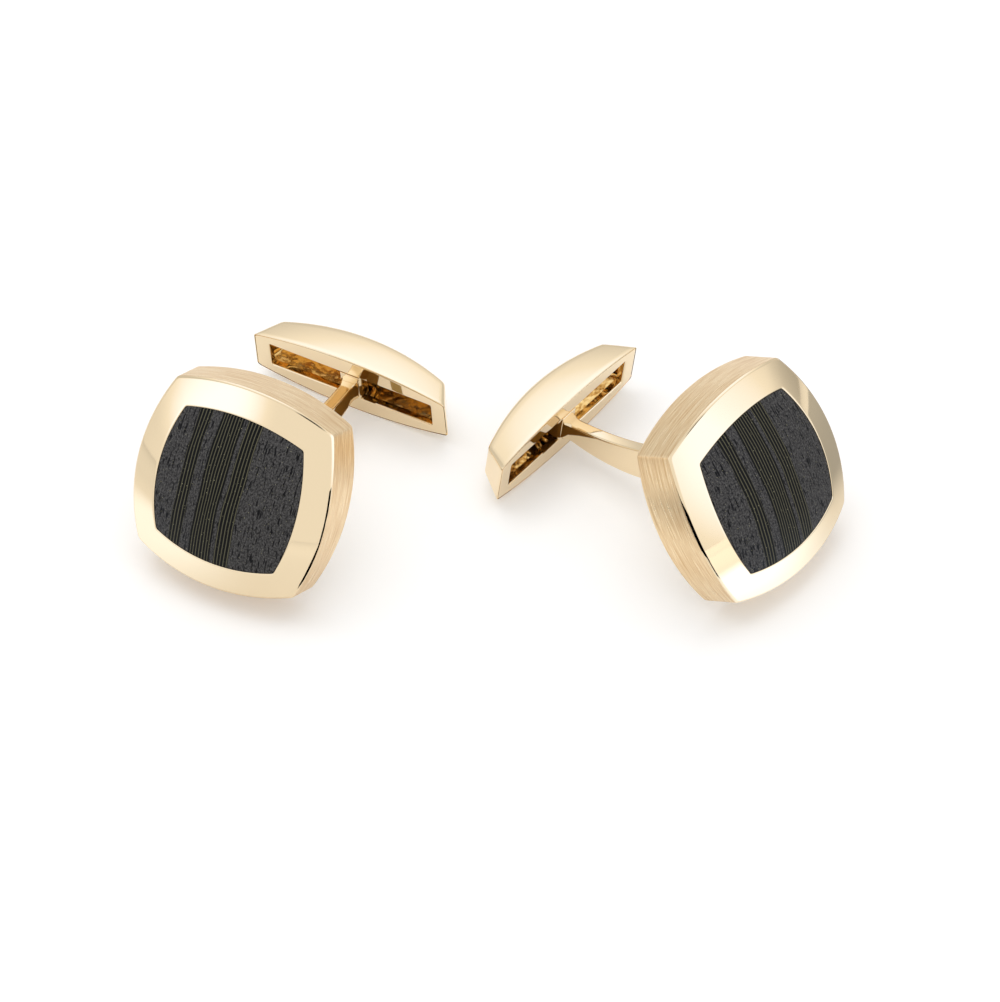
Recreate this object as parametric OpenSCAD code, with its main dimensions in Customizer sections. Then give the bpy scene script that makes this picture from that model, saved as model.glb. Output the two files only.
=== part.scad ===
// A matched pair of swivel-bar cufflinks, lying on a table as they do in the photograph.
// Each one is a cushion-shaped case with a domed face, a curved post and a hollow toggle
// that swings on a pin in the post's knuckle.
// A cufflink is drawn in its own frame: the origin is the middle of the case's flat back,
// +Z runs out through the face and +X lies along the toggle. Then it is laid on the table.

/* [Case] */
// Width of the case across the middles of two opposite sides
case_w = 16.5; // [14:0.1:20]
// Radius of each bowed side, seen from the front
case_side_r = 17.4; // [15:0.1:24]
// How much is rounded off each sharp corner, along the diagonal
corner_cut = 0.1; // [0.05:0.01:0.4]
// Height of the top of the domed face above the flat back
dome_h = 5.9; // [5.3:0.1:7]
// Radius of the domed face
dome_r = 21; // [18.5:0.5:32]
// Wall thickness of the side band
band_t = 0.9; // [0.7:0.05:1.2]
// Width of the band's thin front rim, which is rubbed up round the bezel
band_rim_w = 0.2; // [0.1:0.05:0.3]
// How far the front rim stays below the bezel's edge
band_rim_drop = 0.15; // [0.05:0.01:0.25]
// Bevel of the band's back edge
band_bevel = 0.15; // [0.05:0.01:0.3]
// Width of the polished bezel round the inlay
bezel_w = 2.06; // [1.4:0.02:2.8]
// Height above the back at which the bezel and the inlay are seated
seat_h = 2.8; // [2.2:0.05:2.9]
// Thickness of the bed plate under the inlay
bed_t = 0.6; // [0.4:0.05:0.9]
// Thickness of the back plate
back_t = 0.7; // [0.5:0.05:1]
// Width of the band's back rim round the back plate
back_rim_w = 0.45; // [0.3:0.05:0.6]

/* [Inlay] */
// How far the inlay lies below the bezel's dome
inlay_sink = 0.05; // [0:0.01:0.2]

/* [Post] */
// Thickness of the post's blade
post_t = 1; // [0.8:0.05:1.2]
// Distance straight back from the case to the middle of the toggle's slotted face
post_reach = 15.4; // [13:0.1:18]
// How far the toggle's slotted face lies above the middle of the case
toggle_rise = 4.2; // [3:0.1:5]
// How far the toggle leans towards the case's lower side, in degrees
toggle_lean = 37.7; // [30:0.1:42]
// Height of the blade's upper edge above the middle of the case, at the foot
foot_up = 2.2; // [1.6:0.05:2.6]
// Depth of the blade's lower edge below the middle of the case, at the foot
foot_down = 0.75; // [0.4:0.05:1.4]
// Radius of the blade's upper edge
blade_top_r = 23.5; // [20:0.5:30]
// Radius of the blade's lower edge
blade_bottom_r = 15; // [12:0.5:17]
// Half height of the blade above the pivot, where it meets the knuckle
root_up = 0.45; // [0.3:0.05:0.7]
// Half height of the blade below the pivot, where it meets the knuckle
root_down = 0.9; // [0.6:0.05:1]

/* [Knuckle and pin] */
// Radius of the knuckle that turns in the slot
knuckle_r = 1.1; // [0.9:0.05:1.2]
// Distance from the pivot to each of the knuckle's flats, which the spring bears on
knuckle_flat = 0.95; // [0.75:0.05:1.05]
// Depth of the pivot below the toggle's slotted face
pivot_depth = 0.6; // [0.55:0.05:0.8]
// Radius of the hinge pin
pin_r = 0.35; // [0.3:0.01:0.4]
// Running clearance round the pin in the knuckle
pin_gap = 0.04; // [0.02:0.01:0.06]
// Clearance between the knuckle and each side of the slot
knuckle_gap = 0.05; // [0.03:0.01:0.1]

/* [Toggle] */
// Length of the toggle along its slotted face
toggle_len = 16.9; // [15:0.1:19]
// Width of the toggle at its middle
toggle_w = 6.1; // [5.6:0.1:7]
// Depth of the toggle at its middle
toggle_depth = 3.6; // [3.4:0.1:4.2]
// Radius of the bulging long sides
toggle_side_r = 34; // [32:0.5:44]
// How far the middle of those bulges lies outside the slotted face
toggle_side_lift = 9.5; // [6:0.5:11]
// Radius of the toggle's arched back, along its length
toggle_back_r = 21.4; // [19:0.2:28]
// Slope of each end face, in degrees from square
toggle_end_slope = 28.6; // [15:0.2:32]
// Wall thickness of the toggle's shell
shell_t = 0.5; // [0.4:0.05:0.6]
// Width of the shell's thin rim round the slotted plate
shell_rim_w = 0.2; // [0.1:0.05:0.25]
// Thickness of the slotted plate
plate_t = 0.55; // [0.5:0.05:0.8]
// Width of the plate beyond each end of the slot
slot_end = 1.35; // [1.2:0.05:2.4]
// Width of the slot
slot_w = 2.57; // [2.4:0.01:2.8]
// Length of each hinge cheek under the plate
cheek_len = 2.8; // [2.2:0.1:4]
// Depth of each hinge cheek under the plate
cheek_h = 0.9; // [0.6:0.05:1]

/* [Spring] */
// Length of the leaf spring under the knuckle
spring_len = 11; // [8:0.2:12]
// Width of the leaf spring
spring_w = 2; // [1.4:0.1:2.2]
// Thickness of the leaf spring
spring_t = 0.2; // [0.1:0.01:0.25]
// Clearance between the spring and the circle that the knuckle's corners sweep
spring_gap = 0.05; // [0.03:0.01:0.1]

/* [The pair on the table] */
// Distance between the two cufflinks, measured where their cases touch the table. The
// toggles pass each other with about 0.2 mm to spare.
pair_gap = 41.4; // [41.4:0.1:60]
// How much further back the right one stands than the left
pair_stagger = 1; // [0:0.1:4]
// Turn of the left cufflink about the vertical, in degrees
left_turn_angle = -27.8; // [-40:0.1:-15]
// Turn of the right cufflink about the vertical, in degrees
right_turn_angle = 51.4; // [40:0.1:60]
// Place of the pair's middle to the right of the midpoint between those two touch points
middle_right = -0.73; // [-4:0.05:4]
// Place of the pair's middle behind that midpoint
middle_back = 8.11; // [-12:0.05:12]

/* [Hidden] */

// Clearance between pieces that are soldered, cemented or pressed together
fit = 0.02;
// Overrun of every cut
over = 1;
$fn = 180;

polished_gold = "#EED6A6";
brushed_gold = "#DCC196";
hollow_gold = "#B98A3C";
spring_steel = "#A8A49C";
dark_wood = "#3C3C3E";

// The centre of each bowed side's arc, measured from the middle of the case
case_arc_c = case_side_r - case_w / 2;

// The pivot in the case's frame: how high it is, and how far behind the back
pivot_up = toggle_rise + pivot_depth * sin(toggle_lean);
pivot_back = post_reach + pivot_depth * cos(toggle_lean);

// Where the blade's two edges meet the knuckle: height, then distance behind the back
root_top = [pivot_up + root_up * cos(toggle_lean), pivot_back - root_up * sin(toggle_lean)];
root_bottom = [pivot_up - root_down * cos(toggle_lean), pivot_back + root_down * sin(toggle_lean)];

// Each edge leaves the foot square to the case and bends up along an arc of known radius.
// This is how far behind the back that arc starts.
function arc_start(end, from, r) = end[1] - sqrt(pow(r, 2) - pow(r - (end[0] - from), 2));
blade_top_start = arc_start(root_top, foot_up, blade_top_r);
blade_bottom_start = arc_start(root_bottom, -foot_down, blade_bottom_r);

// Each long side of the toggle is part of a large ball, whose centre lies across the toggle.
// Half the toggle's width, drawn in by inset, at a distance along it and at a height above
// its slotted face:
toggle_side_c = sqrt(pow(toggle_side_r, 2) - pow(toggle_side_lift, 2)) - toggle_w / 2;
function toggle_half_w(inset, along, height) =
    sqrt(pow(toggle_side_r - inset, 2) - pow(along, 2) - pow(toggle_side_lift - height, 2))
    - toggle_side_c;

slot_len = toggle_len - 2 * slot_end;

// The hinge cheeks fill the width of the hollow, and the pin ends flush with them
cheek_half_w = toggle_half_w(shell_t, cheek_len / 2, -plate_t - cheek_h) - fit;

// The spring's underside rests on the shell's floor at its ends and bows up in between
spring_top = -pivot_depth - knuckle_r - spring_gap;
spring_end_floor = toggle_back_r - toggle_depth
    - sqrt(pow(toggle_back_r - shell_t, 2) - pow(spring_len / 2, 2)) + fit;
spring_rise = spring_top - spring_t - spring_end_floor;
spring_r = (pow(spring_len / 2, 2) + pow(spring_rise, 2)) / 2 / spring_rise;

// The case rests on its bevelled lower back edge and the toggle on its lower rim
rest_case = [-case_w / 2, -band_bevel];
rest_toggle = [
    toggle_rise - toggle_w / 2 * cos(toggle_lean),
    post_reach + toggle_w / 2 * sin(toggle_lean),
];
rest_lean = atan2(rest_toggle[0] - rest_case[0], rest_toggle[1] - rest_case[1]);

// The cushion outline drawn in by inset: four arcs, with the corners rounded off
module cushion_outline(inset) {
    r = case_side_r - inset;
    corner = sqrt(pow(r, 2) - pow(case_arc_c * sin(45), 2)) - case_arc_c * cos(45);
    intersection() {
        intersection_for(turn = [0:90:270])
            rotate(turn) translate([0, -case_arc_c]) circle(r);
        circle(corner - corner_cut);
    }
}

module cushion(inset, bottom, top) {
    translate([0, 0, bottom]) linear_extrude(top - bottom) cushion_outline(inset);
}

// Everything under the domed face, or under a dome that lies lower by drop
module under_dome(drop) {
    translate([0, 0, dome_h - dome_r - drop]) sphere(dome_r, $fn = 2 * $fn);
}

// The bowed sides with the back edge bevelled
module bevelled_sides() {
    intersection_for(turn = [0:90:270])
        rotate(turn) translate([0, -case_arc_c]) rotate_extrude()
            polygon([
                [0, 0],
                [case_side_r - band_bevel, 0],
                [case_side_r, band_bevel],
                [case_side_r, dome_h],
                [0, dome_h],
            ]);
}

module side_band() {
    color(brushed_gold) difference() {
        intersection() {
            cushion(0, 0, dome_h);
            bevelled_sides();
            under_dome(band_rim_drop);
        }
        cushion(band_t, -over, dome_h);
        cushion(band_rim_w, seat_h, dome_h);
        cushion(back_rim_w, -over, back_t);
    }
}

module bezel() {
    color(polished_gold) difference() {
        intersection() {
            cushion(band_rim_w + fit, seat_h, dome_h);
            under_dome(0);
        }
        cushion(band_rim_w + bezel_w, seat_h - over, dome_h);
    }
}

module inlay() {
    color(dark_wood) intersection() {
        cushion(band_rim_w + bezel_w + fit, seat_h, dome_h);
        under_dome(inlay_sink);
    }
}

module inlay_bed() {
    color(hollow_gold) cushion(band_t + fit, seat_h - bed_t, seat_h);
}

module back_plate() {
    color(polished_gold) difference() {
        cushion(back_rim_w + fit, 0, back_t);
        translate([-post_t / 2 - fit, -foot_down - fit, -over])
            cube([post_t + 2 * fit, foot_up + foot_down + 2 * fit, back_t + 2 * over]);
    }
}

// Side view of the blade: x is the height on the case, y is the way out of the face
module blade_outline() {
    difference() {
        union() {
            translate([-foot_down, -blade_bottom_start])
                square([foot_up + foot_down, blade_bottom_start + back_t]);
            intersection() {
                translate([blade_bottom_r - foot_down, -blade_bottom_start])
                    circle(blade_bottom_r);
                translate([-foot_down - over, -root_bottom[1]])
                    square([root_top[0] + foot_down + 2 * over, root_bottom[1] - blade_bottom_start]);
            }
        }
        translate([blade_top_r + foot_up, -blade_top_start]) circle(blade_top_r);
        translate([pivot_up, -pivot_back]) rotate(toggle_lean)
            translate([-post_reach, -post_reach]) square([2 * post_reach, post_reach]);
    }
}

// From the case's frame to the toggle's: the origin is the middle of the slotted face,
// and +Z points out of that face, towards the case
module at_toggle() {
    translate([0, toggle_rise, -post_reach]) rotate([toggle_lean, 0, 0]) children();
}

// A round bar along the hinge axis
module hinge_bar(r, half_len) {
    translate([0, 0, -pivot_depth]) rotate([90, 45, 0]) cylinder(h = 2 * half_len, r = r, center = true);
}

module knuckle() {
    half_w = slot_w / 2 - knuckle_gap;
    intersection() {
        hinge_bar(knuckle_r, half_w);
        translate([-knuckle_flat, -half_w - over, -pivot_depth - knuckle_flat])
            cube([2 * knuckle_flat, 2 * (half_w + over), knuckle_flat + knuckle_r + over]);
    }
}

module post() {
    color(polished_gold) difference() {
        union() {
            rotate([90, 0, 90]) linear_extrude(post_t, center = true) blade_outline();
            at_toggle() knuckle();
        }
        at_toggle() hinge_bar(pin_r + pin_gap, slot_w);
    }
}

// The toggle's outer form drawn in by inset, between two heights above its slotted face
module toggle_form(inset, bottom, top) {
    function half_len(height) =
        toggle_len / 2 - inset / cos(toggle_end_slope) + height * tan(toggle_end_slope);
    intersection() {
        rotate([90, 0, 0]) linear_extrude(toggle_w + over, center = true) intersection() {
            polygon([
                [-half_len(bottom), bottom],
                [half_len(bottom), bottom],
                [half_len(top), top],
                [-half_len(top), top],
            ]);
            translate([0, toggle_back_r - toggle_depth]) circle(toggle_back_r - inset);
        }
        intersection_for(side = [-1, 1])
            translate([0, side * toggle_side_c, toggle_side_lift])
                sphere(toggle_side_r - inset, $fn = 2 * $fn);
    }
}

module toggle_shell() {
    color(polished_gold) at_toggle() difference() {
        toggle_form(0, -toggle_depth - over, 0);
        toggle_form(shell_t, -toggle_depth - over, over);
        toggle_form(shell_rim_w, -plate_t, over);
    }
}

module toggle_plate() {
    color(polished_gold) at_toggle() difference() {
        union() {
            toggle_form(shell_rim_w + fit, -plate_t, 0);
            translate([-cheek_len / 2, -cheek_half_w, -plate_t - cheek_h])
                cube([cheek_len, 2 * cheek_half_w, cheek_h + plate_t / 2]);
        }
        translate([-slot_len / 2, -slot_w / 2, -plate_t - cheek_h - over])
            cube([slot_len, slot_w, plate_t + cheek_h + 2 * over]);
        hinge_bar(pin_r + fit, cheek_half_w + fit);
    }
}

module hinge_pin() {
    color(polished_gold) at_toggle() hinge_bar(pin_r, cheek_half_w);
}

module leaf_spring() {
    color(spring_steel) at_toggle() rotate([90, 0, 0]) linear_extrude(spring_w, center = true)
        intersection() {
            translate([0, spring_top - spring_t - spring_r]) difference() {
                circle(spring_r + spring_t);
                circle(spring_r);
            }
            translate([-spring_len / 2, spring_end_floor - spring_t])
                square([spring_len, spring_rise + 2 * spring_t + over]);
        }
}

// Lay a cufflink on the table, on the lower side of its case and of its toggle
module lay_down(side, turn) {
    translate([side * pair_gap / 2 - middle_right, side * pair_stagger / 2 - middle_back, 0])
        rotate(turn) rotate([90 - rest_lean, 0, 0])
            translate([0, -rest_case[0], rest_case[1]]) children();
}

module left() {
    lay_down(-1, left_turn_angle) children();
}

module right() {
    lay_down(1, right_turn_angle) children();
}

left() side_band();  // left_side_band
left() bezel();  // left_bezel
left() inlay();  // left_inlay
left() inlay_bed();  // left_inlay_bed
left() back_plate();  // left_back_plate
left() post();  // left_post
left() toggle_plate();  // left_toggle_plate
left() toggle_shell();  // left_toggle_shell
left() hinge_pin();  // left_hinge_pin
left() leaf_spring();  // left_leaf_spring
right() side_band();  // right_side_band
right() bezel();  // right_bezel
right() inlay();  // right_inlay
right() inlay_bed();  // right_inlay_bed
right() back_plate();  // right_back_plate
right() post();  // right_post
right() toggle_plate();  // right_toggle_plate
right() toggle_shell();  // right_toggle_shell
right() hinge_pin();  // right_hinge_pin
right() leaf_spring();  // right_leaf_spring
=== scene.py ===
"""A pair of gold cufflinks with dark wood inlays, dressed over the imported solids."""

from math import atan2, cos, pi, radians, sin, sqrt, tan

import bmesh
import bpy
from mathutils import Matrix, Vector


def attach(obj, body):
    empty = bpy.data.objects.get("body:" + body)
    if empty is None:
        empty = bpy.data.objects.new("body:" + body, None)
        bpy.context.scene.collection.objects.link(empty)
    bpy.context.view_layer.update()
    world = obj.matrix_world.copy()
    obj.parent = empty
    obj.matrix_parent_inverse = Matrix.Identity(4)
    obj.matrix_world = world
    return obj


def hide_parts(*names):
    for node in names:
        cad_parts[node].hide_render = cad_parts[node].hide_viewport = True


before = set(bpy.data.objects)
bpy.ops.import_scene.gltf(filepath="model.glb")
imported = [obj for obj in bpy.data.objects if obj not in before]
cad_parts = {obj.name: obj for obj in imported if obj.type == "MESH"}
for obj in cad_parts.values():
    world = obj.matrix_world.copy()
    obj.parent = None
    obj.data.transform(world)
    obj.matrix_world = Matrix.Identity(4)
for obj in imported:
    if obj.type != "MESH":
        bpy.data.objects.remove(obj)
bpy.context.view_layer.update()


# The pair on the table
# Two loose cufflinks, each leaning on its case's lower back edge and its toggle's lower rim.
# A cufflink is worked in its own frame, in millimetres: the origin is the middle of the flat
# back, +Z runs out through the face and +X lies along the toggle.

MM = 0.001
CASE_W = 16.5
BACK_BEVEL = 0.15
REST_LEAN = radians(29.956)
SIDES = ("left", "right")
TURN = {"left": radians(-27.8), "right": radians(51.4)}
# Where the middle of each case's lower back edge touches the table
TOUCHES_AT = {"left": (-19.97, -8.61), "right": (21.43, -7.61)}


def laid_down(side):
    """From a cufflink's own frame in millimetres to its place on the table in metres."""
    x, y = TOUCHES_AT[side]
    stand = Matrix.Rotation(TURN[side], 4, "Z") @ Matrix.Rotation(pi / 2 - REST_LEAN, 4, "X")
    in_millimetres = (
        Matrix.Translation((x, y, 0)) @ stand @ Matrix.Translation((0, CASE_W / 2, -BACK_BEVEL))
    )
    return Matrix.Scale(MM, 4) @ in_millimetres


# Side band
# The wall of the case: gold sheet bent to four bowed sides and soldered at the corners. The
# outside is brushed along each side with a fine abrasive wheel. Its front edge is cut to a
# narrow bevel and polished, so that it draws a dark or a bright line round the bezel.

SIDE_R = 17.4
ARC_C = SIDE_R - CASE_W / 2
DOME_H, DOME_R = 5.9, 21.0
BAND_T = 0.9
SEAT_H = 2.8
BACK_T = 0.7
BACK_RIM_W = 0.45
# The wall stands this far inside the solid's, so that its rounded edges stay in the solid's box
WALL_IN = 0.09
# The polished bevel, as steps in from the wall and down from the dome
BEVEL = ((0.004, 0.104), (0.03, 0.077), (0.102, 0.016), (0.137, 0.001))
BEVEL_IN = WALL_IN + 0.139
CORNER_R = 0.2
ARC_STEPS = 28
# Points this close are one point
SAME_POINT = 1e-4
BRIDGE_LIFT = 0.01
# Shading stays smooth over an edge that turns by less
SHARP_TURN = radians(50)


def domed(drop):
    """Heights on the domed face, or on a dome that lies lower by drop."""
    return lambda p: DOME_H - DOME_R + sqrt(DOME_R**2 - p.x**2 - p.y**2) - drop


def level(height):
    """The same height at every point."""
    return lambda p: height


def bowed_line(bm, corner, arc_c, sides, corner_r, steps, height):
    """A closed line of bowed sides, with its points at their heights.

    The first side is an arc about (0, -arc_c) from the corner. Turned copies of it follow."""
    old_verts, old_edges = set(bm.verts), set(bm.edges)

    def new_verts():
        return [v for v in bm.verts if v not in old_verts]

    def new_edges():
        return [e for e in bm.edges if e not in old_edges]

    bm.verts.new((*corner, 0))
    bmesh.ops.spin(
        bm, geom=new_verts(), cent=(0, -arc_c, 0), axis=(0, 0, 1),
        angle=2 * atan2(corner[0], corner[1] + arc_c), steps=steps,
    )
    bmesh.ops.spin(
        bm, geom=new_verts() + new_edges(), cent=(0, 0, 0), axis=(0, 0, 1),
        angle=2 * pi * (1 - 1 / sides), steps=sides - 1, use_duplicate=True,
    )
    bmesh.ops.remove_doubles(bm, verts=new_verts(), dist=SAME_POINT)
    for end in (1, -1):
        loose = [v for v in new_verts() if len(v.link_edges) == 1 and v.co.x * end > 0]
        if loose:
            bmesh.ops.contextual_create(bm, geom=loose)
    corners = [
        v for v in new_verts()
        if all(abs(abs(v.co[axis]) - corner[axis]) < SAME_POINT for axis in (0, 1))
    ]
    bmesh.ops.bevel(
        bm, geom=corners, offset=corner_r, offset_type="OFFSET", affect="VERTICES", segments=4,
        profile=0.5, material=-1,
    )
    for v in new_verts():
        v.co.z = height(v.co)
    return new_edges()


def cushion_line(bm, inset, height):
    """A line round the case, drawn in by inset."""
    r = SIDE_R - inset
    corner = (sqrt(r**2 - (ARC_C * sin(pi / 4)) ** 2) - ARC_C * cos(pi / 4)) * cos(pi / 4)
    round_off = CORNER_R * (1 - inset / (CASE_W / 2))
    return bowed_line(bm, (corner, corner), ARC_C, 4, round_off, ARC_STEPS, height)


def wrap(bm, lines, closed=False):
    """Faces from each line to the next. Returns the faces, band by band.

    The second line is lifted a little while the two are joined, because the operator can twist
    the faces between two lines that lie in one plane."""
    pairs = list(zip(lines, lines[1:]))
    if closed:
        pairs.append((lines[-1], lines[0]))
    bands = []
    for first, second in pairs:
        lifted = list({v for e in second for v in e.verts})
        bmesh.ops.translate(bm, vec=(0, 0, BRIDGE_LIFT), verts=lifted)
        bands.append(bmesh.ops.bridge_loops(bm, edges=first + second)["faces"])
        bmesh.ops.translate(bm, vec=(0, 0, -BRIDGE_LIFT), verts=lifted)
    return bands


def connect(node, links):
    """Gives a node's inputs their links and plain numbers, by name or by place."""
    for key, value in links.items():
        if isinstance(value, bpy.types.NodeSocket):
            node.id_data.links.new(value, node.inputs[key])
        else:
            node.inputs[key].default_value = value


def add_node(tree, kind, links=None, **settings):
    """Adds a node with its settings and links."""
    node = tree.nodes.new(kind)
    for key, value in settings.items():
        setattr(node, key, value)
    connect(node, links or {})
    return node


def material(name):
    """A new material, its shader node and a function that adds nodes to it."""
    mat = bpy.data.materials.new(name)
    mat.use_nodes = True
    tree = mat.node_tree
    shader = next(n for n in tree.nodes if n.type == "BSDF_PRINCIPLED")

    def add(kind, links=None, **settings):
        return add_node(tree, kind, links, **settings)

    return mat, shader, add


def linear(colour):
    """An sRGB colour such as #EED6A6 as the linear numbers that a shader takes."""
    channels = [int(colour[i : i + 2], 16) / 255 for i in (1, 3, 5)]
    return [c / 12.92 if c <= 0.04045 else ((c + 0.055) / 1.055) ** 2.4 for c in channels] + [1]


def finish_piece(bm, side, name, body, mats, stands_for):
    """The piece's mesh laid on the table, shaded smooth between its sharp edges."""
    bmesh.ops.remove_doubles(bm, verts=bm.verts, dist=SAME_POINT)
    bmesh.ops.recalc_face_normals(bm, faces=bm.faces)
    for face in bm.faces:
        face.smooth = True
    for edge in bm.edges:
        edge.smooth = len(edge.link_faces) < 2 or edge.calc_face_angle(0) < SHARP_TURN
    mesh = bpy.data.meshes.new(f"{side}_{name}")
    bm.to_mesh(mesh)
    bm.free()
    mesh.transform(laid_down(side))
    piece = bpy.data.objects.new(f"{side}_{name}", mesh)
    bpy.context.scene.collection.objects.link(piece)
    for mat in mats:
        mesh.materials.append(mat)
    weighted = piece.modifiers.new("even_shading", "WEIGHTED_NORMAL")
    weighted.keep_sharp = True
    weighted.weight = 80
    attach(piece, f"{side}_{body}")
    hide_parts(*[f"{side}_{node}" for node in stands_for])


# The length of the coarsest hairlines, and how many of them lie in a millimetre
HAIR_LEN, HAIRS_PER_MM = 4.0, 7.5
# Each side takes its own stretch of the pattern, this far from the last one's
SIDE_STRETCH = 20
RIM_SHARE = 0.3


def measure_along_sides(bm):
    """Texture places in millimetres: along each bowed side, and up from the back.

    A share of the way in from the wall is added, so that the flat rims get hairlines too."""
    uv = bm.loops.layers.uv.new("along_side")
    for face in bm.faces:
        middle = face.calc_center_median()
        quarter = round((atan2(middle.y, middle.x) - pi / 2) / (pi / 2))
        turn = Matrix.Rotation(-quarter * pi / 2, 3, "Z")
        for loop in face.loops:
            p = turn @ loop.vert.co
            along = atan2(p.x, p.y + ARC_C) * SIDE_R + SIDE_STRETCH * quarter
            loop[uv].uv = (along, p.z - RIM_SHARE * (p.y - CASE_W / 2))


# Yellow gold alloy, satin from a fine abrasive wheel: hairlines about 0.1 mm apart that run
# with the edge for a millimetre or two, a soft wide sheen across them, and no mirror image.
brushed_gold, shader, add = material("brushed_gold")
side_map = add("ShaderNodeUVMap", uv_map="along_side")
hair = add(
    "ShaderNodeMapping",
    {"Vector": side_map.outputs["UV"], "Scale": (1 / HAIR_LEN, HAIRS_PER_MM, 1)},
)
hairlines = add(
    "ShaderNodeTexNoise",
    {"Vector": hair.outputs[0], "Scale": 1, "Detail": 3, "Roughness": 0.75},
)
tone = add(
    "ShaderNodeMapRange", {"Value": hairlines.outputs["Fac"], "From Min": 0.36, "From Max": 0.64},
)
tint = add(
    "ShaderNodeMix", {0: tone.outputs[0], 6: linear("#E0BC8B"), 7: linear("#FFE8C0")},
    data_type="RGBA",
)
satin = add("ShaderNodeMapRange", {"Value": tone.outputs[0], "To Min": 0.38, "To Max": 0.26})
relief = add(
    "ShaderNodeBump", {"Height": hairlines.outputs["Fac"], "Strength": 0.5, "Distance": 0.04 * MM},
)
grain = add("ShaderNodeTangent", direction_type="UV_MAP", uv_map="along_side")
connect(
    shader,
    {
        "Base Color": tint.outputs[2],
        "Metallic": 1,
        "Roughness": satin.outputs[0],
        "Anisotropic": 0.5,
        "Anisotropic Rotation": 0.25,
        "Tangent": grain.outputs[0],
        "Normal": relief.outputs[0],
    },
)

# Yellow gold alloy, buffed to a mirror with rouge: clean reflections, broken only by hair-fine
# wheel marks about 0.05 mm apart and a slow unevenness of the sheet, a wave to 3 mm.
WHEEL_MARKS_PER_MM = 20
WAVES_PER_MM = 0.35

polished_gold, shader, add = material("polished_gold")
place = add("ShaderNodeTexCoord")
swirls = add(
    "ShaderNodeTexNoise",
    {
        "Vector": place.outputs["Object"],
        "Scale": WHEEL_MARKS_PER_MM / MM,
        "Detail": 2,
        "Roughness": 0.5,
    },
)
slow = add(
    "ShaderNodeTexNoise",
    {"Vector": place.outputs["Object"], "Scale": WAVES_PER_MM / MM, "Detail": 1, "Roughness": 0.5},
)
mirror = add(
    "ShaderNodeMapRange",
    {
        "Value": swirls.outputs["Fac"],
        "From Min": 0.3,
        "From Max": 0.7,
        "To Min": 0.04,
        "To Max": 0.09,
    },
)
wave = add(
    "ShaderNodeBump", {"Height": slow.outputs["Fac"], "Strength": 0.12, "Distance": 0.06 * MM},
)
connect(
    shader,
    {
        "Base Color": linear("#F2DDB9"),
        "Metallic": 1,
        "Roughness": mirror.outputs[0],
        "Normal": wave.outputs[0],
    },
)

for side in SIDES:
    bm = bmesh.new()
    brushed = [
        (BACK_RIM_W, level(0)),
        (BACK_BEVEL + 0.1, level(0.001)),
        (BACK_BEVEL + 0.03, level(0.003)),
        (BACK_BEVEL - 0.02, level(0.024)),
        (WALL_IN + 0.01, level(BACK_BEVEL - 0.04)),
        (WALL_IN, level(BACK_BEVEL)),
        (WALL_IN, level(BACK_BEVEL + 0.15)),
        (WALL_IN, level(BACK_BEVEL + 1.2)),
        (WALL_IN, domed(1.3)),
        (WALL_IN, domed(0.2)),
        (WALL_IN, domed(0.115)),
    ]
    polished = [
        *[(WALL_IN + step, domed(drop)) for step, drop in BEVEL],
        (BEVEL_IN, domed(0.02)),
        (BEVEL_IN, domed(0.4)),
        (BEVEL_IN, level(SEAT_H)),
        (BAND_T, level(SEAT_H)),
        (BAND_T, level(BACK_T)),
        (BACK_RIM_W, level(BACK_T)),
    ]
    lines = [cushion_line(bm, inset, height) for inset, height in brushed + polished]
    for faces in wrap(bm, lines, closed=True)[len(brushed):]:
        for face in faces:
            face.material_index = 1
    measure_along_sides(bm)
    finish_piece(
        bm, side, "brushed_band", "cufflink", [brushed_gold, polished_gold],
        ["side_band"],
    )


# Bezel
# The domed border of the face: a cast gold frame, turned bright on a buff, that holds the
# inlay. It meets the band's polished bevel without a step, and its inner edge is broken so
# that it catches a thin line of light against the wood.

BEZEL_IN = 2.26
# It reaches a hair into the band, so that no gap shows
BEZEL_OUT = BEVEL_IN - 0.004

for side in SIDES:
    bm = bmesh.new()
    outline = [
        (BEZEL_OUT, level(SEAT_H)),
        (BEZEL_OUT, domed(0.3)),
        (BEZEL_OUT, domed(0.006)),
        (BEZEL_OUT + 0.01, domed(0.001)),
        *[(BEZEL_OUT + step, domed(0)) for step in (0.03, 0.1, 0.4, 0.8, 1.2, 1.6)],
        (BEZEL_IN - 0.2, domed(0)),
        (BEZEL_IN - 0.09, domed(0.001)),
        (BEZEL_IN - 0.045, domed(0.015)),
        (BEZEL_IN - 0.014, domed(0.044)),
        (BEZEL_IN, domed(0.09)),
        (BEZEL_IN, domed(0.3)),
        (BEZEL_IN, level(SEAT_H)),
    ]
    wrap(bm, [cushion_line(bm, inset, height) for inset, height in outline], closed=True)
    finish_piece(bm, side, "bright_bezel", "cufflink", [polished_gold], ["bezel"])


# Wood inlay
# A slip of near-black tropical hardwood, cemented on its bed and sanded with the bezel's dome.
# The straight grain shows as bundles of fine dark lines with paler wood between them, and open
# pores as short dashes. A few bright specks are painted glints, light caught by the sanded face.

# The hairline seam between two fitted parts
SEAM_GAP = 0.02
INLAY_IN = BEZEL_IN + SEAM_GAP
INLAY_SINK = 0.05
GRAIN_TILT = {"left": radians(0.8), "right": radians(3.2)}
GRAIN_SHIFT = {"left": 0.0, "right": 0.55}
# Middle and half width of each bundle of grain lines, and the lines' spacing
BUNDLES = ((-3.3, 0.53, 0.27), (-0.98, 0.95, 0.245), (0.92, 0.62, 0.27))
# How far a bundle wanders
BUNDLE_DRIFT = 0.3
# Marks to a millimetre, across the grain and along it
DRIFTS_PER_MM = (0.5, 0.22)
FIBRES_PER_MM = (7.5, 5.0)
PORES_PER_MM = (6.5, 1.0)
GLINTS_PER_MM = (9.0, 6.0)


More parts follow.
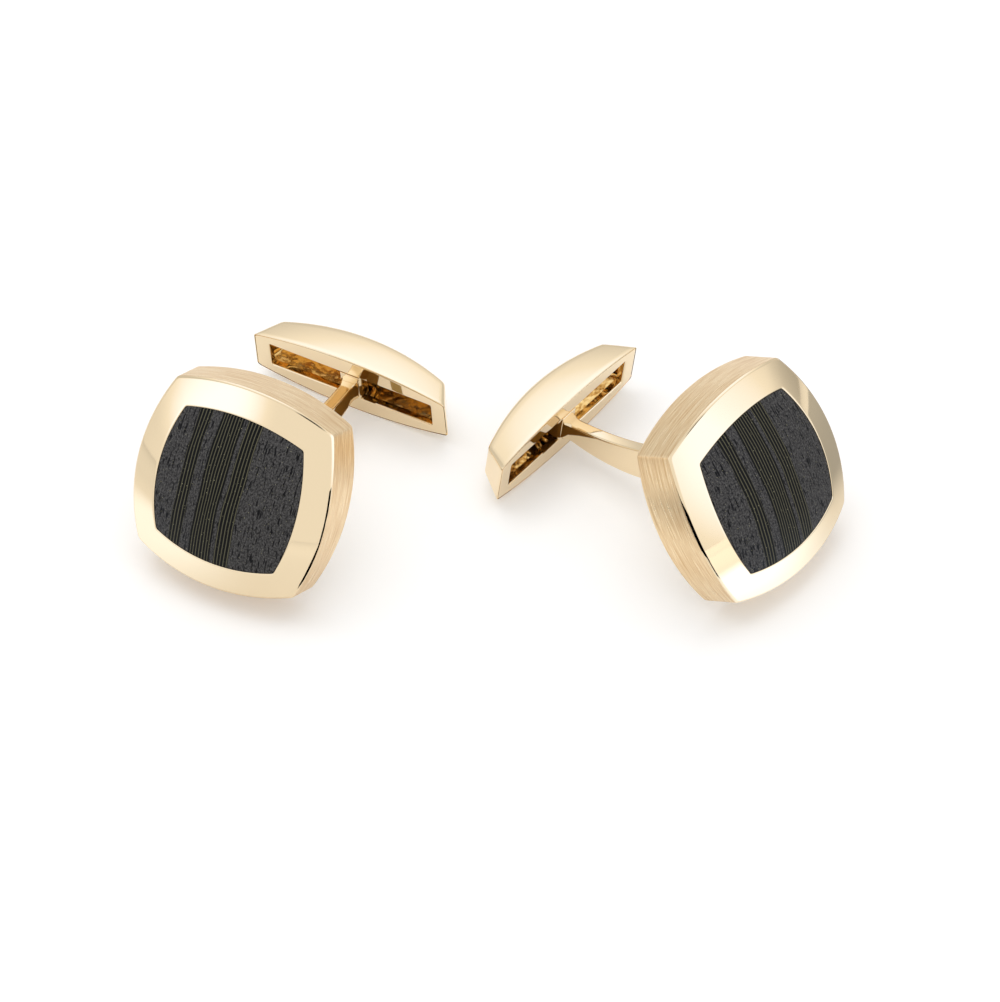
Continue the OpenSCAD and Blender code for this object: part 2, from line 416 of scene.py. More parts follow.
def dark_wood(side):
    """The inlay's wood, sanded and unpolished, with its grain turned and shifted by the side."""
    mat, shader, add = material(f"{side}_dark_wood")
    flat = add("ShaderNodeUVMap", uv_map="across_face")
    turned = add(
        "ShaderNodeMapping",
        {
            "Vector": flat.outputs["UV"],
            "Location": (-GRAIN_SHIFT[side], 0, 0),
            "Rotation": (0, 0, GRAIN_TILT[side]),
        },
    )

    def marks(per_mm, detail, roughness=0.5):
        """A noise with so many marks to a millimetre, across the grain and along it."""
        spread = add("ShaderNodeMapping", {"Vector": turned.outputs[0], "Scale": (*per_mm, 1)})
        noise = add(
            "ShaderNodeTexNoise",
            {"Vector": spread.outputs[0], "Scale": 1, "Detail": detail, "Roughness": roughness},
        )
        return noise.outputs["Fac"]

    # Bundles of dark lines with pale wood between them
    across = add("ShaderNodeSeparateXYZ", {"Vector": turned.outputs[0]})
    drifted = add(
        "ShaderNodeMath",
        {0: marks(DRIFTS_PER_MM, 1), 1: BUNDLE_DRIFT, 2: across.outputs["X"]},
        operation="MULTIPLY_ADD",
    )
    in_bundle, pale_line = 0.0, 0.0
    for middle, half_w, spacing in BUNDLES:
        off = add(
            "ShaderNodeMath", {0: drifted.outputs[0], 1: middle + BUNDLE_DRIFT / 2},
            operation="SUBTRACT",
        )
        away = add("ShaderNodeMath", {0: off.outputs[0]}, operation="ABSOLUTE")
        inside = add("ShaderNodeMath", {0: away.outputs[0], 1: half_w}, operation="LESS_THAN")
        phase = add(
            "ShaderNodeMath", {0: off.outputs[0], 1: 2 * pi / spacing}, operation="MULTIPLY",
        )
        swing = add("ShaderNodeMath", {0: phase.outputs[0]}, operation="COSINE")
        pale = add(
            "ShaderNodeMapRange", {"Value": swing.outputs[0], "From Min": 0.35, "From Max": 0.95},
        )
        held = add(
            "ShaderNodeMath", {0: pale.outputs[0], 1: inside.outputs[0]}, operation="MULTIPLY",
        )
        in_bundle = add(
            "ShaderNodeMath", {0: in_bundle, 1: inside.outputs[0]}, operation="MAXIMUM",
        ).outputs[0]
        pale_line = add(
            "ShaderNodeMath", {0: pale_line, 1: held.outputs[0]}, operation="MAXIMUM",
        ).outputs[0]
    lines = add(
        "ShaderNodeMix", {0: pale_line, 6: linear("#040404"), 7: linear("#5A5745")},
        data_type="RGBA",
    )

    # Plain wood with its pores
    fibres = marks(FIBRES_PER_MM, 3, 0.8)
    contrast = add("ShaderNodeMapRange", {"Value": fibres, "From Min": 0.36, "From Max": 0.66})
    plain = add(
        "ShaderNodeMix", {0: contrast.outputs[0], 6: linear("#0B0B0C"), 7: linear("#5C5A59")},
        data_type="RGBA",
    )
    pore = add(
        "ShaderNodeMapRange",
        {"Value": marks(PORES_PER_MM, 1.5), "From Min": 0.585, "From Max": 0.63},
    )
    with_pores = add(
        "ShaderNodeMix", {0: pore.outputs[0], 6: plain.outputs[2], 7: linear("#08080A")},
        data_type="RGBA",
    )

    # Both together, with painted glints over all: bright specks of light
    grained = add(
        "ShaderNodeMix", {0: in_bundle, 6: with_pores.outputs[2], 7: lines.outputs[2]},
        data_type="RGBA",
    )
    painted_glint = add(
        "ShaderNodeMapRange",
        {"Value": marks(GLINTS_PER_MM, 2), "From Min": 0.69, "From Max": 0.73},
    )
    glinted_wood = add(
        "ShaderNodeMix", {0: painted_glint.outputs[0], 6: grained.outputs[2], 7: linear("#9A9678")},
        data_type="RGBA",
    )
    dull = add("ShaderNodeMapRange", {"Value": fibres, "To Min": 0.42, "To Max": 0.62})
    depth = add("ShaderNodeMath", {0: pore.outputs[0], 1: in_bundle}, operation="MAXIMUM")
    height = add("ShaderNodeMath", {0: fibres, 1: depth.outputs[0]}, operation="SUBTRACT")
    relief = add(
        "ShaderNodeBump", {"Height": height.outputs[0], "Strength": 0.5, "Distance": 0.03 * MM},
    )
    connect(
        shader,
        {
            "Base Color": glinted_wood.outputs[2],
            "Roughness": dull.outputs[0],
            "Specular IOR Level": 0.12,
            "Normal": relief.outputs[0],
        },
    )
    return mat


for side in SIDES:
    bm = bmesh.new()
    outline = [
        (INLAY_IN, level(SEAT_H + 0.01)),
        (INLAY_IN, domed(INLAY_SINK + 0.2)),
        (INLAY_IN, domed(INLAY_SINK + 0.03)),
        (INLAY_IN + 0.02, domed(INLAY_SINK + 0.008)),
        *[
            (INLAY_IN + step, domed(INLAY_SINK))
            for step in (0.06, 0.6, 1.4, 2.4, 3.4, 4.4, 5.2, 5.7)
        ],
    ]
    lines = [cushion_line(bm, inset, height) for inset, height in outline]
    wrap(bm, lines)
    for line in (lines[0], lines[-1]):
        cap = bmesh.ops.contextual_create(bm, geom=line)["faces"]
        bmesh.ops.poke(bm, faces=cap)
    uv = bm.loops.layers.uv.new("across_face")
    for face in bm.faces:
        for loop in face.loops:
            loop[uv].uv = loop.vert.co.xy
    finish_piece(bm, side, "wood_inlay", "cufflink", [dark_wood(side)], ["inlay"])


# Back plate and inlay bed
# The back is a flat gold plate soldered inside the band's back rim, with the post's foot
# through it. The bed under the inlay is a plain plate that nothing shows of, so its solid
# stays and only takes the gold.

BACK_IN = BACK_RIM_W + SEAM_GAP


def give_finish(node, mat):
    """Gives a solid that stays as it is one of the finishes made here."""
    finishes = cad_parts[node].data.materials
    finishes.clear()
    finishes.append(mat)


for side in SIDES:
    bm = bmesh.new()
    outline = [
        (BACK_IN, level(BACK_T)),
        (BACK_IN, level(0.03)),
        (BACK_IN + 0.009, level(0.009)),
        (BACK_IN + 0.03, level(0)),
    ]
    lines = [cushion_line(bm, inset, height) for inset, height in outline]
    wrap(bm, lines)
    for line in (lines[0], lines[-1]):
        bmesh.ops.contextual_create(bm, geom=line)
    finish_piece(
        bm, side, "flat_back", "cufflink", [polished_gold], ["back_plate"],
    )
    give_finish(f"{side}_inlay_bed", polished_gold)


# Post and knuckle
# One gold casting: a blade that leaves the back square and curves up to the toggle, with its
# long edges rounded off by the buff, and a squat barrel at its end that turns in the slot.
# The blade flares where it meets the barrel.

POST_T = 1.0
# The foot's reach above and below the middle of the back, and into it
FOOT_UP, FOOT_DOWN, FOOT_IN = 2.2, 0.75, 0.6
BLADE_TOP_R, BLADE_BOTTOM_R = 23.5, 15.0
BLADE_EDGE_R = 0.17
BLADE_STEPS = 30
# The toggle's lean, the middle of its slotted face, and how deep below that face it turns
LEAN = radians(37.7)
TOGGLE_AT = Vector((0, 4.2, -15.4))
PIVOT_DEPTH = 0.6
# The blade's reach to each side of the pivot where it ends, and the round of its flare
ROOT_UP, ROOT_DOWN = 0.45, 0.9
FLARE_R = 0.2
SLOT_W, SIDE_PLAY = 2.57, 0.05
KNUCKLE_R, KNUCKLE_HALF_W = 1.1, SLOT_W / 2 - SIDE_PLAY
# The barrel is cut flat before, behind and below, and on top just above the slotted face
BARREL_R, BARREL_FLAT, BARREL_TOP, BARREL_EDGE_R = 1.02, 0.95, 0.66, 0.1

to_toggle = Matrix.Translation(TOGGLE_AT) @ Matrix.Rotation(LEAN, 4, "X")
pivot = to_toggle @ Vector((0, 0, -PIVOT_DEPTH))


def blade_edge(foot, radius, root):
    """Points down one edge of the blade: square out of the back, then along its arc."""
    end = pivot + root * Vector((0, cos(LEAN), sin(LEAN)))
    centre_y = foot + radius
    rise = sqrt(radius**2 - (centre_y - end.y) ** 2)
    start_z = end.z + rise
    straight = [Vector((0, foot, z)) for z in (FOOT_IN, 0.0, start_z / 3, start_z * 2 / 3)]
    sweep = atan2(rise, centre_y - end.y)
    turns = [sweep * i / BLADE_STEPS for i in range(BLADE_STEPS + 1)]
    arc = [Vector((0, centre_y - radius * cos(a), start_z - radius * sin(a))) for a in turns]
    return straight + arc


def oblong(bm, half_x, half_y, corner_r, segments):
    """Points round a flat oblong with rounded corners, joined by edges only."""
    size = Matrix.Diagonal((half_x, half_y, 1, 1))
    made = bmesh.ops.create_grid(bm, x_segments=1, y_segments=1, size=1, matrix=size)["verts"]
    bmesh.ops.delete(bm, geom=list({f for v in made for f in v.link_faces}), context="FACES_ONLY")
    return bmesh.ops.bevel(
        bm, geom=made, offset=corner_r, offset_type="OFFSET", affect="VERTICES",
        segments=segments, profile=0.5, material=-1,
    )["verts"]


def blade_section(bm, upper, lower, thickness):
    """A line round the blade, between its two edges."""
    old_edges = set(bm.edges)
    up = (upper - lower).normalized()
    along = up.cross(Vector((1, 0, 0)))
    turn = Matrix((Vector((1, 0, 0)), up, along)).transposed().to_4x4()
    rounded = oblong(bm, thickness / 2, (upper - lower).length / 2, BLADE_EDGE_R, 5)
    bmesh.ops.transform(
        bm, matrix=Matrix.Translation((upper + lower) / 2) @ turn, verts=rounded,
    )
    return [e for e in bm.edges if e not in old_edges]


def take_in(bm, other):
    """Adds another piece of work to this one."""
    carrier = bpy.data.meshes.new("carrier")
    other.to_mesh(carrier)
    other.free()
    bm.from_mesh(carrier)
    bpy.data.meshes.remove(carrier)


def round_edges(bm, edges, radius, segments):
    """Rounds these edges off."""
    bmesh.ops.bevel(
        bm, geom=edges, offset=radius, offset_type="OFFSET", affect="EDGES", segments=segments,
        profile=0.5, material=-1, clamp_overlap=True,
    )


def soften(bm, radius, segments):
    """Rounds every edge that turns by more than 25 degrees."""
    sharp = [
        e for e in bm.edges if len(e.link_faces) == 2 and e.calc_face_angle(0) > radians(25)
    ]
    round_edges(bm, sharp, radius, segments)


for side in SIDES:
    bm = bmesh.new()
    uppers = blade_edge(FOOT_UP, BLADE_TOP_R, ROOT_UP)
    lowers = blade_edge(-FOOT_DOWN, BLADE_BOTTOM_R, -ROOT_DOWN)
    sections = []
    for upper, lower in zip(uppers, lowers):
        middle = (upper + lower) / 2
        clear = max((middle - pivot).length - KNUCKLE_R, 0)
        flare = FLARE_R - sqrt(FLARE_R**2 - max(FLARE_R - clear, 0) ** 2)
        out = (upper - lower).normalized() * flare
        sections.append(blade_section(bm, upper + out, lower - out, POST_T + 2 * flare))
    wrap(bm, sections)
    for line in (sections[0], sections[-1]):
        bmesh.ops.contextual_create(bm, geom=line)
    barrel = bmesh.new()
    bmesh.ops.create_cone(
        barrel, cap_ends=True, segments=96, radius1=BARREL_R, radius2=BARREL_R,
        depth=2 * KNUCKLE_HALF_W, matrix=Matrix.Rotation(pi / 2, 4, "X"),
    )
    for flat, reach in (
        (Vector((1, 0, 0)), BARREL_FLAT), (Vector((-1, 0, 0)), BARREL_FLAT),
        (Vector((0, 0, -1)), BARREL_FLAT), (Vector((0, 0, 1)), BARREL_TOP),
    ):
        cut = bmesh.ops.bisect_plane(
            barrel, geom=barrel.verts[:] + barrel.edges[:] + barrel.faces[:],
            plane_co=flat * reach, plane_no=flat, clear_outer=True,
        )
        rim = [g for g in cut["geom_cut"] if isinstance(g, bmesh.types.BMEdge)]
        bmesh.ops.contextual_create(barrel, geom=rim)
    soften(barrel, BARREL_EDGE_R, 4)
    bmesh.ops.transform(
        barrel, matrix=to_toggle @ Matrix.Translation((0, 0, -PIVOT_DEPTH)), verts=barrel.verts,
    )
    take_in(bm, barrel)
    finish_piece(bm, side, "curved_post", "cufflink", [polished_gold], ["post"])


# Toggle
# A hollow gold casting: a boat-shaped shell with bulging sides, sloped ends and an arched
# back, and a flat slotted plate soldered into its mouth. Outside it is buffed, with soft
# edges. Inside it keeps the rough skin of the casting, with painted light: a deeper amber for
# the glow that bounces out of the hollow.

TOGGLE_LEN, TOGGLE_W, TOGGLE_DEPTH = 16.9, 6.1, 3.6
# Each long side is part of a ball, whose middle lies this far above the slotted face
TOGGLE_SIDE_R, TOGGLE_SIDE_LIFT = 34.0, 9.5
TOGGLE_SIDE_C = sqrt(TOGGLE_SIDE_R**2 - TOGGLE_SIDE_LIFT**2) - TOGGLE_W / 2
TOGGLE_BACK_R = 21.4
END_SLOPE = radians(28.6)
SHELL_T = 0.5
PLATE_T = 0.55
SLOT_LEN = 14.2
SLOT_CORNER_R = 0.12
CHEEK_LEN, CHEEK_H, CHEEK_T = 2.8, 0.9, 0.72
CHEEK_SINK, CHEEK_EDGE_R = 0.02, 0.06
# The rounding of the shell's upright, back and mouth edges, outside and in its hollow
TOGGLE_END_R, TOGGLE_BACK_EDGE_R, TOGGLE_MOUTH_R = 0.35, 0.34, 0.09
HOLLOW_END_R, HOLLOW_BACK_EDGE_R, HOLLOW_MOUTH_R = 0.25, 0.25, 0.02
# The fine seam round the plate: how deep it is, and how far in from the outline the plate is
SEAM_DEPTH, SEAM_INSET = 0.07, 0.125
# Cuts along, across and down the block that is bowed to the toggle's form
FORM_CUTS = (60, 10, 6)
BOAT_STEPS = 40

# The inside of a casting after pickling: gold with a lumpy skin, a lump to a millimetre. The
# amber of the light that comes out of the hollow after several bounces is partly painted: the
# base colour is a deeper amber than the buffed outside.
LUMPS_PER_MM = 0.9

rough_gold, shader, add = material("rough_cast_gold")
place = add("ShaderNodeTexCoord")
peel = add(
    "ShaderNodeTexNoise",
    {"Vector": place.outputs["Object"], "Scale": LUMPS_PER_MM / MM, "Detail": 2, "Roughness": 0.5},
)
painted_bounce_amber = add(
    "ShaderNodeMix", {0: peel.outputs["Fac"], 6: linear("#E6B664"), 7: linear("#F7D899")},
    data_type="RGBA",
)
skin = add("ShaderNodeMapRange", {"Value": peel.outputs["Fac"], "To Min": 0.12, "To Max": 0.24})
bumps = add(
    "ShaderNodeBump", {"Height": peel.outputs["Fac"], "Strength": 0.55, "Distance": 0.25 * MM},
)
connect(
    shader,
    {
        "Base Color": painted_bounce_amber.outputs[2],
        "Metallic": 1,
        "Roughness": skin.outputs[0],
        "Normal": bumps.outputs[0],
    },
)


def toggle_form(inset, top, end_r, back_r, mouth_r):
    """The toggle's outer form drawn in by inset, up to a height above its slotted face.

    A block of the same size is rounded and cut into a grid, then bowed to the form."""
    bm = bmesh.new()
    size = Vector((TOGGLE_LEN, TOGGLE_W, TOGGLE_DEPTH)) / 2
    bmesh.ops.create_cube(bm, size=2, matrix=Matrix.Diagonal((*size, 1)))
    upright = [e for e in bm.edges if abs(e.verts[0].co.z - e.verts[1].co.z) > size.z]
    round_edges(bm, upright, end_r, 5)
    for end, radius, segments in ((-1, back_r, 4), (1, mouth_r, 3)):
        rim = [
            e for e in bm.edges if all(v.co.z * end > size.z - SAME_POINT for v in e.verts)
        ]
        round_edges(bm, rim, radius, segments)
    for axis, cuts in enumerate(FORM_CUTS):
        along = [
            e for e in bm.edges
            if abs(e.verts[1].co[axis] - e.verts[0].co[axis]) > size[axis]
        ]
        bmesh.ops.subdivide_edges(bm, edges=along, cuts=cuts, use_grid_fill=True)
    arch_z = TOGGLE_BACK_R - TOGGLE_DEPTH
    half_len = TOGGLE_LEN / 2 - inset / cos(END_SLOPE)
    end_x = half_len
    for _ in range(30):  # closes in on where the sloped end meets the arched back
        end_z = arch_z - sqrt((TOGGLE_BACK_R - inset) ** 2 - end_x**2)
        end_x = half_len + end_z * tan(END_SLOPE)
    for v in bm.verts:
        share_x, share_y = v.co.x / size.x, v.co.y / size.y
        low_x = share_x * end_x
        low = Vector((low_x, arch_z - sqrt((TOGGLE_BACK_R - inset) ** 2 - low_x**2)))
        high = Vector((share_x * (half_len + top * tan(END_SLOPE)), top))
        p = high.lerp(low, (1 - v.co.z / size.z) / 2)
        half_w = (
            sqrt((TOGGLE_SIDE_R - inset) ** 2 - p.x**2 - (TOGGLE_SIDE_LIFT - p.y) ** 2)
            - TOGGLE_SIDE_C
        )
        v.co = (p.x, share_y * half_w, p.y)
    bmesh.ops.recalc_face_normals(bm, faces=bm.faces)
    return bm


def open_top(bm, height):
    """Takes away the flat top at this height."""
    top = [
        f for f in bm.faces
        if f.normal.z > 0.999 and abs(f.calc_center_median().z - height) < 1e-3
    ]
    bmesh.ops.delete(bm, geom=top, context="FACES")


def boat_line(bm, inset, height):
    """A line round the slotted face, drawn in by inset."""
    arc = sqrt((TOGGLE_SIDE_R - inset) ** 2 - (TOGGLE_SIDE_LIFT - height) ** 2)
    end = TOGGLE_LEN / 2 - inset / cos(END_SLOPE) + height * tan(END_SLOPE)
    corner = (end, sqrt(arc**2 - end**2) - TOGGLE_SIDE_C)
    corner_r = TOGGLE_END_R - inset
    return bowed_line(bm, corner, TOGGLE_SIDE_C, 2, corner_r, BOAT_STEPS, level(height))


def slot_line(bm, outset, height):
    """A line round the slot, let out by outset."""
    old_edges = set(bm.edges)
    corner_r = SLOT_CORNER_R + outset
    rounded = oblong(bm, SLOT_LEN / 2 + outset, SLOT_W / 2 + outset, corner_r, 4)
    bmesh.ops.translate(bm, vec=(0, 0, height), verts=rounded)
    return [e for e in bm.edges if e not in old_edges]


for side in SIDES:
    bm = toggle_form(0, 0, TOGGLE_END_R, TOGGLE_BACK_EDGE_R, TOGGLE_MOUTH_R)
    open_top(bm, 0)
    lip = bmesh.ops.extrude_edge_only(bm, edges=[e for e in bm.edges if e.is_boundary])["geom"]
    bmesh.ops.translate(
        bm, vec=(0, 0, -SEAM_DEPTH), verts=[g for g in lip if isinstance(g, bmesh.types.BMVert)],
    )
    hollow = toggle_form(SHELL_T, -PLATE_T, HOLLOW_END_R, HOLLOW_BACK_EDGE_R, HOLLOW_MOUTH_R)
    open_top(hollow, -PLATE_T)
    for face in hollow.faces:
        face.material_index = 1
    take_in(bm, hollow)
    bmesh.ops.bridge_loops(bm, edges=[e for e in bm.edges if e.is_boundary])
    bmesh.ops.transform(bm, matrix=to_toggle, verts=bm.verts)
    finish_piece(
        bm, side, "toggle_body", "toggle", [polished_gold, rough_gold],
        ["toggle_shell"],
    )

for side in SIDES:
    bm = bmesh.new()
    lines = [
        boat_line(bm, SEAM_INSET + 0.01, -PLATE_T),
        boat_line(bm, SEAM_INSET, -0.12),
        boat_line(bm, SEAM_INSET, -0.035),
        boat_line(bm, SEAM_INSET + 0.008, -0.01),
        boat_line(bm, SEAM_INSET + 0.03, 0),
        boat_line(bm, SEAM_INSET + 0.12, 0),
        slot_line(bm, 0.2, 0),
        slot_line(bm, 0.09, 0),
        slot_line(bm, 0.026, -0.026),
        slot_line(bm, 0, -0.09),
        slot_line(bm, 0, -0.2),
        slot_line(bm, 0, -PLATE_T),
    ]
    wrap(bm, lines, closed=True)
    for y in (1, -1):
        middle = Vector((0, y * (SLOT_W + CHEEK_T) / 2, CHEEK_SINK - PLATE_T - CHEEK_H / 2))
        size = Matrix.Diagonal((CHEEK_LEN, CHEEK_T, CHEEK_H, 1))
        cheek = bmesh.new()
        bmesh.ops.create_cube(cheek, size=1, matrix=Matrix.Translation(middle) @ size)
        soften(cheek, CHEEK_EDGE_R, 2)
        take_in(bm, cheek)
    bmesh.ops.transform(bm, matrix=to_toggle, verts=bm.verts)
    finish_piece(
        bm, side, "slotted_face", "toggle", [polished_gold], ["toggle_plate"],
    )
    give_finish(f"{side}_hinge_pin", polished_gold)
    give_finish(f"{side}_leaf_spring", rough_gold)


# Studio and camera
# A white sweep in a light tent, as for a catalogue picture. The gold mirrors what stands
# round it: soft boxes at both sides and behind and a small dark gap in the roof. Sheets in
# front of the pair and below the posts, seen only in the gold, are painted reflections that
# draw dark lines and painted shade in it.


def add_plane(name, corners, mat):
    """A flat piece of studio, with its corners in millimetres."""
    bm = bmesh.new()
    bmesh.ops.contextual_create(
        bm, geom=[bm.verts.new(Vector(corner) * MM) for corner in corners],
    )
    mesh = bpy.data.meshes.new(name)
    bm.to_mesh(mesh)
    bm.free()
    mesh.materials.append(mat)
    plane = bpy.data.objects.new(name, mesh)
    bpy.context.scene.collection.objects.link(plane)
    return plane


def towards(azimuth, elevation):
    """A direction from its angle to the right of the camera and its height, in degrees."""
    a, e = radians(azimuth), radians(elevation)
    return (sin(a) * cos(e), -cos(a) * cos(e), sin(e))


def glow(tree, base, soft_spots, place, dot):
    """A level with soft spots on it, each a centre, an inner and an outer reach and a height."""
    for centre, inner, outer, height in soft_spots:
        away = add_node(tree, "ShaderNodeVectorMath", {0: place, 1: centre}, operation=dot)
        spot = add_node(
            tree, "ShaderNodeMapRange",
            {
                "Value": away.outputs["Value"],
                "From Min": outer,
                "From Max": inner,
                "To Max": height,
            },
            interpolation_type="SMOOTHSTEP",
        )
        base = add_node(
            tree, "ShaderNodeMath", {0: base, 1: spot.outputs[0]}, operation="ADD",
        ).outputs[0]
    return base


# Matt white paper: it renders white round the object, and its soft shadows stay. Only in the
# gold, spots of light are painted on it, cool and plain white, and painted shade greys a stretch
# at each side.
PAPER_WHITE, PAINTED_SHADE_GREY = "#F4F4F4", "#5A6068"
COOL_WHITE = "#BCD7FF"
# What the camera sees on top of the lit paper, so that it comes out white
CAMERA_GLOW = 0.14
# Each spot is a middle on the table, an inner and an outer reach in metres, and a strength.
# Where the inner reach is the larger, the paper is bright all round and plain in the middle.
COOL_SPOTS = (
    ((-0.037, -0.011, 0), 0.004, 0.018, 0.55),
    ((0.031, -0.019, 0), 0.004, 0.0172, 1.2),
)
WHITE_SPOTS = (
    ((0.065, -0.050, 0), 0.02, 0.055, 0.28),
    ((0.3, -0.26, 0), 0.235, 0.3, 0.28),
    ((0, 0, 0), 0.095, 0.035, 0.075),
    ((0, 0.004, 0), 0.014, 0.030, 0.14),
)
# Painted shade: stretches where the gold sees the paper grey
PAINTED_SHADE_SPOTS = (
    ((0.078, 0.026, 0), 0.046, 0.056, 0.6),
    ((-0.3, -0.02, 0), 0.22, 0.26, 0.17),
)
SWEEP_HALF_W = 600

white_paper, shader, add = material("white_paper")
place = add("ShaderNodeTexCoord")
path = add("ShaderNodeLightPath")
in_gold, by_eye = path.outputs["Is Glossy Ray"], path.outputs["Is Camera Ray"]
cool, white, painted_paper_shade = (
    glow(white_paper.node_tree, 0.0, spots, place.outputs["Object"], "DISTANCE")
    for spots in (COOL_SPOTS, WHITE_SPOTS, PAINTED_SHADE_SPOTS)
)
cooled = add("ShaderNodeVectorMath", {0: linear(COOL_WHITE)[:3], "Scale": cool}, operation="SCALE")
lit = add("ShaderNodeVectorMath", {0: cooled.outputs[0], 1: white}, operation="ADD")
mirrored = add("ShaderNodeVectorMath", {0: lit.outputs[0], "Scale": in_gold}, operation="SCALE")
seen = add("ShaderNodeMath", {0: by_eye, 1: CAMERA_GLOW}, operation="MULTIPLY")
emitted = add(
    "ShaderNodeVectorMath", {0: mirrored.outputs[0], 1: seen.outputs[0]}, operation="ADD",
)
gloss_only_paper_shade = add("ShaderNodeMath", {0: painted_paper_shade, 1: in_gold}, operation="MULTIPLY")
paper = add(
    "ShaderNodeMix", {0: gloss_only_paper_shade.outputs[0], 6: linear(PAPER_WHITE), 7: linear(PAINTED_SHADE_GREY)},
    data_type="RGBA",
)
connect(
    shader,
    {
        "Base Color": paper.outputs[2],
        "Roughness": 0.9,
        "Specular IOR Level": 0,
        "Emission Color": emitted.outputs[0],
        "Emission Strength": 1,
    },
)
add_plane(
    "white_sweep",
    [(x * SWEEP_HALF_W, y * SWEEP_HALF_W, 0) for x, y in ((-1, -1), (1, -1), (1, 1), (-1, 1))],
    white_paper,
)


def matt_card(name, colour):
    """Card of one colour with no shine."""
    card_stock, shader, _ = material(name)
    connect(shader, {"Base Color": linear(colour), "Specular IOR Level": 0})
    return card_stock


# Painted reflections, seen only in the gold: black sheets in front of the pair draw dark lines
# in it, and brown and tan sheets below the posts paint shade on the posts and the band.
painted_black_reflection = matt_card("painted_black_reflection", "#000000")
painted_brown_shade = matt_card("painted_brown_shade", "#7A5A2C")
painted_tan_shade = matt_card("painted_tan_shade", "#A89468")
CARDS = (
    (
        "standing_dark_reflection", painted_black_reflection,
        [(-3, -26.3, 0), (30, -41.3, 0), (30, -41.3, 16), (-3, -26.3, 16)],
    ),
    (
        "lying_dark_reflection", painted_black_reflection,
        [(-13, -17, 0.1), (-13, -26, 0.1), (-8, -26, 0.1), (12, -33, 0.1), (8, -24, 0.1),
         (-4, -16, 0.1)],
    ),
    (
        "narrow_dark_reflection", painted_black_reflection,
        [(18.5, -24, 0.1), (21.5, -24, 0.1), (22.5, -38, 0.1), (18, -36, 0.1)],
    ),
    (
        "left_post_shade_reflection", painted_brown_shade,
        [(-12.9, 5.2, 2), (-12.3, 4.6, 2), (-8.8, 8.2, 2), (-9.5, 9, 2)],
    ),
    (
        "left_band_shade_reflection", painted_tan_shade,
        [(-12.4, 4.8, 1.6), (-12.1, 4.1, 1.6), (-7.8, 6, 1.6), (-8.1, 6.7, 1.6)],
    ),
    (
        "right_post_shade_reflection", painted_brown_shade,
        [(3.2, 4.6, 2), (5.4, 4.6, 2), (6, 3, 2), (7.4, 0.2, 2), (8.7, -2, 2), (9.6, -3.6, 2),
         (7.9, -1.4, 2), (6.2, 0.6, 2), (4.2, 3, 2)],
    ),
)
for name, card_stock, corners in CARDS:
    card = add_plane(name, corners, card_stock)
    card.visible_camera = card.visible_diffuse = card.visible_shadow = False

# The light tent. In the gold its cloth is a little paler in front than behind, with soft boxes
# shining through it. Each box is a direction, the cosines of its inner and outer reach, and a
# strength, which darkens the cloth where it is below nought.
CLOTH_FRONT, CLOTH_BACK = 0.97, 0.72
SOFT_BOXES = (
    (towards(-74, 35), cos(radians(4)), cos(radians(30)), 0.36),
    (towards(82, 28), cos(radians(14)), cos(radians(50)), 0.32),
    (towards(178, 46), cos(radians(8)), cos(radians(38)), 0.52),
    (towards(118, -6), cos(radians(8)), cos(radians(24)), -0.24),
)
ROOF_GAP, GAP_INNER, GAP_OUTER = towards(95, 76), cos(radians(6)), cos(radians(10))
# The brightest cloth gets a blue share on top, so that its image in the gold burns out to white
HOT_FROM, HOT_TO, HOT_STRENGTH = 1.06, 1.56, 1.15
HOT_BLUE = "#0095FF"
# The tent's light on matt surfaces
FILL = 0.75

world = bpy.data.worlds.new("light_tent")
bpy.context.scene.world = world
world.use_nodes = True
tree = world.node_tree
tree.nodes.clear()
path = add_node(tree, "ShaderNodeLightPath")
sky = add_node(tree, "ShaderNodeTexCoord").outputs["Generated"]
split = add_node(tree, "ShaderNodeSeparateXYZ", {"Vector": sky})
walls = add_node(
    tree, "ShaderNodeMapRange",
    {
        "Value": split.outputs["Y"],
        "From Min": -0.2,
        "From Max": 0.45,
        "To Min": CLOTH_FRONT,
        "To Max": CLOTH_BACK,
    },
)
boxes = glow(tree, walls.outputs[0], SOFT_BOXES, sky, "DOT_PRODUCT")
hot = add_node(
    tree, "ShaderNodeMapRange",
    {"Value": boxes, "From Min": HOT_FROM, "From Max": HOT_TO, "To Max": HOT_STRENGTH},
)
overhead = add_node(
    tree, "ShaderNodeVectorMath", {0: sky, 1: ROOF_GAP}, operation="DOT_PRODUCT",
)
gap = add_node(
    tree, "ShaderNodeMapRange",
    {
        "Value": overhead.outputs["Value"],
        "From Min": GAP_OUTER,
        "From Max": GAP_INNER,
        "To Min": 1,
        "To Max": 0.05,
    },
    interpolation_type="SMOOTHSTEP",
)
tent = add_node(tree, "ShaderNodeMath", {0: boxes, 1: gap.outputs[0]}, operation="MULTIPLY")
glare = add_node(
    tree, "ShaderNodeMath", {0: hot.outputs[0], 1: gap.outputs[0]}, operation="MULTIPLY",
)
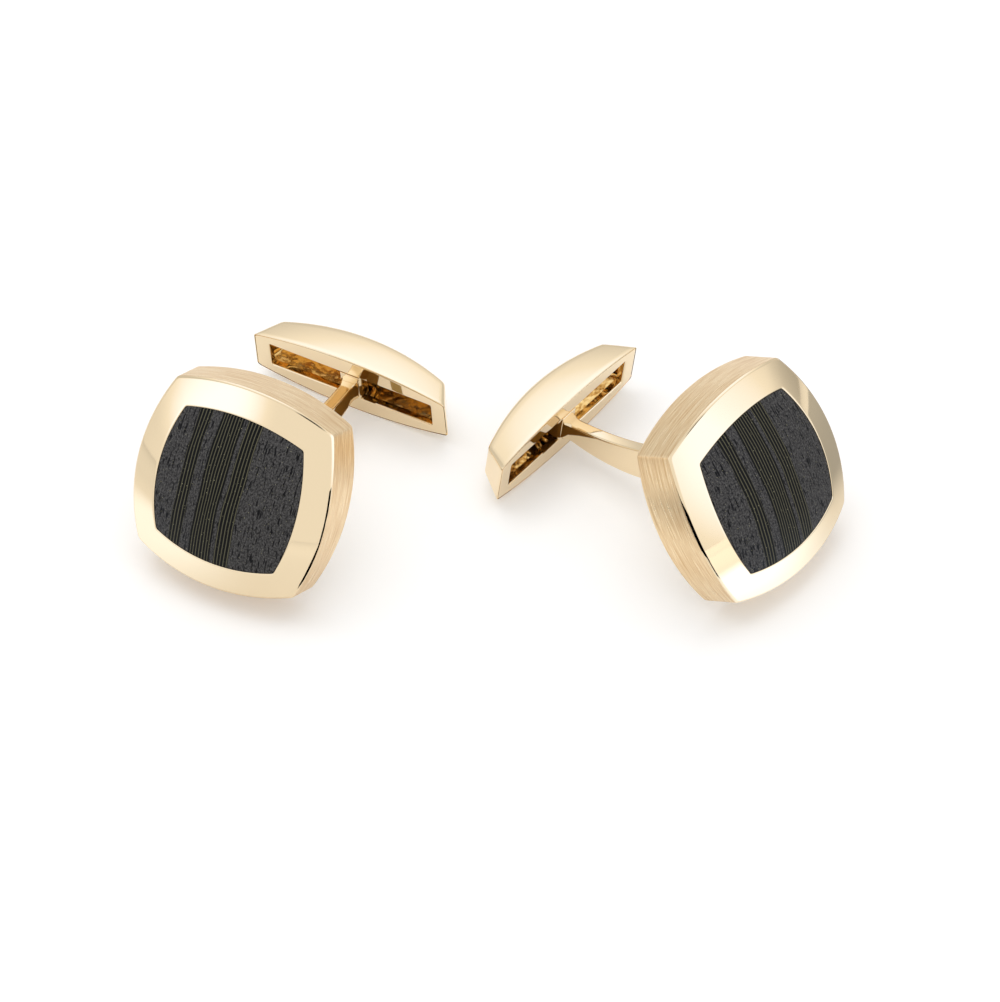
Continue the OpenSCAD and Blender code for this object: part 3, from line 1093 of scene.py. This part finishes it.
fill, backdrop, cloth, blue = (
    add_node(tree, "ShaderNodeBackground", {"Color": linear(colour), "Strength": strength})
    for colour, strength in (
        ("#FFFFFF", FILL), ("#FFFFFF", 1), ("#FFFFFF", tent.outputs[0]),
        (HOT_BLUE, glare.outputs[0]),
    )
)
in_metal = add_node(tree, "ShaderNodeAddShader", {0: cloth.outputs[0], 1: blue.outputs[0]})
by_gloss = add_node(
    tree, "ShaderNodeMixShader",
    {0: path.outputs["Is Glossy Ray"], 1: fill.outputs[0], 2: in_metal.outputs[0]},
)
by_camera = add_node(
    tree, "ShaderNodeMixShader",
    {0: path.outputs["Is Camera Ray"], 1: by_gloss.outputs[0], 2: backdrop.outputs[0]},
)
add_node(tree, "ShaderNodeOutputWorld", {"Surface": by_camera.outputs[0]})


def soft_lamp(name, at, size, watts):
    """A square lamp that lights the wood and the paper but shows in no reflection."""
    data = bpy.data.lights.new(name, "AREA")
    data.size = size
    data.energy = watts
    lamp = bpy.data.objects.new(name, data)
    lamp.location = at
    lamp.rotation_euler = Vector(at).to_track_quat("Z", "Y").to_euler()
    lamp.visible_glossy = False
    bpy.context.scene.collection.objects.link(lamp)


soft_lamp("top_softbox", (-0.05, 0.05, 0.35), 0.35, 0.5)
soft_lamp("front_softbox", (0.3, -0.38, 0.16), 0.3, 0.25)

# The camera stands where the photograph was taken from: 46.8 degrees above the table, about
# 0.9 m away, with a long lens that puts 13 pixels on each millimetre.
FRAME_W, FRAME_H = 1000, 1002
FOCAL_PIXELS = 11815
SENSOR_W = 36
CAMERA_AT = (0.000835, -0.626963, 0.666855)
CAMERA_HEIGHT = 46.8

camera_data = bpy.data.cameras.new("camera")
camera_data.sensor_width = SENSOR_W
camera_data.lens = FOCAL_PIXELS * SENSOR_W / max(FRAME_W, FRAME_H)
camera_data.clip_start, camera_data.clip_end = 0.05, 10
camera = bpy.data.objects.new("camera", camera_data)
camera.location = CAMERA_AT
camera.rotation_euler = (radians(90 - CAMERA_HEIGHT), 0, 0)
bpy.context.scene.collection.objects.link(camera)
bpy.context.scene.camera = camera
bpy.context.scene.view_settings.view_transform = "Standard"
